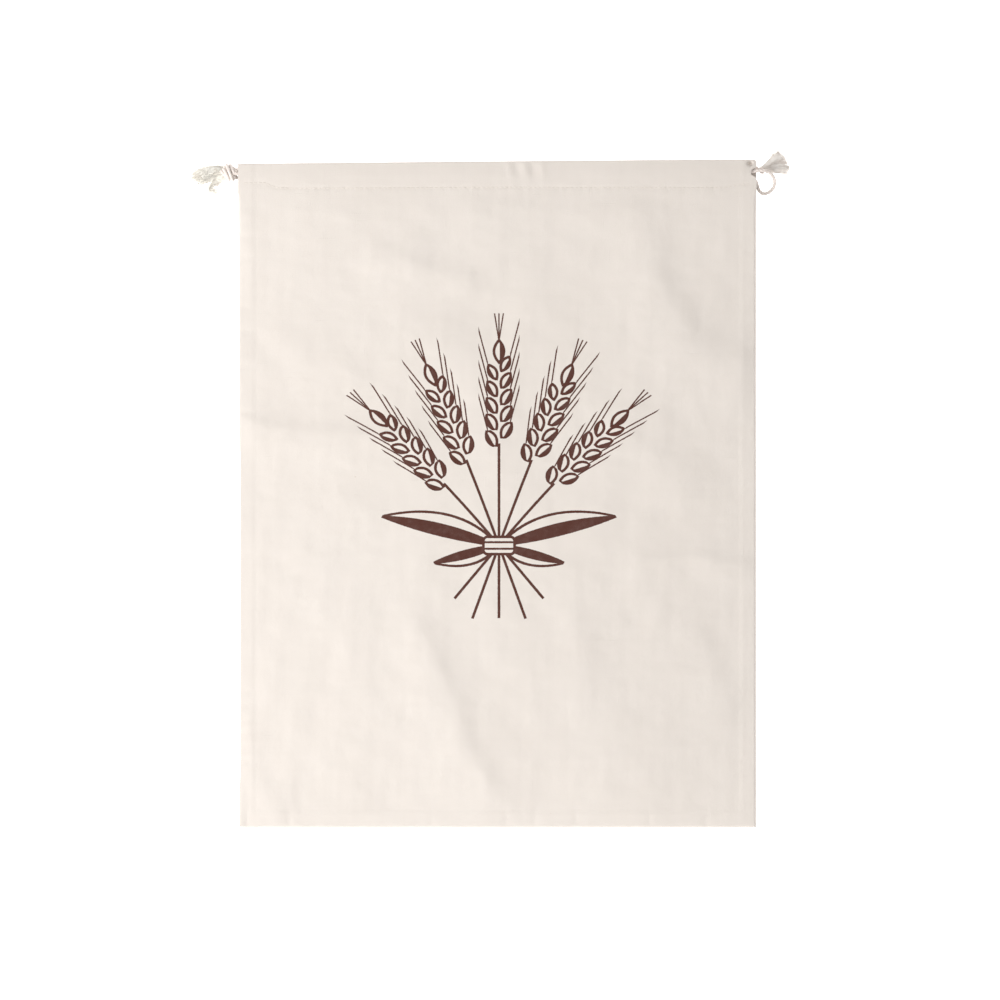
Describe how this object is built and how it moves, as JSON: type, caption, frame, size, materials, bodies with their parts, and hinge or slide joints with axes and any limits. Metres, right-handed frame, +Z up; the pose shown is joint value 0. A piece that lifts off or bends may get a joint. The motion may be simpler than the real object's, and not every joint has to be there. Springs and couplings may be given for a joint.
{
  "type": "linen bread bag with drawstrings",
  "caption": "Flat linen drawstring bag for bread, lying on its back, with an open casing at the mouth and tasselled cords.",
  "frame": {"origin": "middle of the bag's underside, on the surface it lies on", "axes": "+X to the bag's right seen from above, +Y towards the mouth, +Z up out of the printed front"},
  "size_m": [0.3443, 0.3902, 0.0141],
  "materials": {
    "linen": "matt",
    "cord": "matt",
    "fray": "matt"
  },
  "bodies": {
    "root": {"back_panel": "linen", "front_panel": "linen", "drawstring_left": "cord", "drawstring_right": "cord", "tassel_left": "fray", "tassel_right": "fray"}
  },
  "joints": []
}
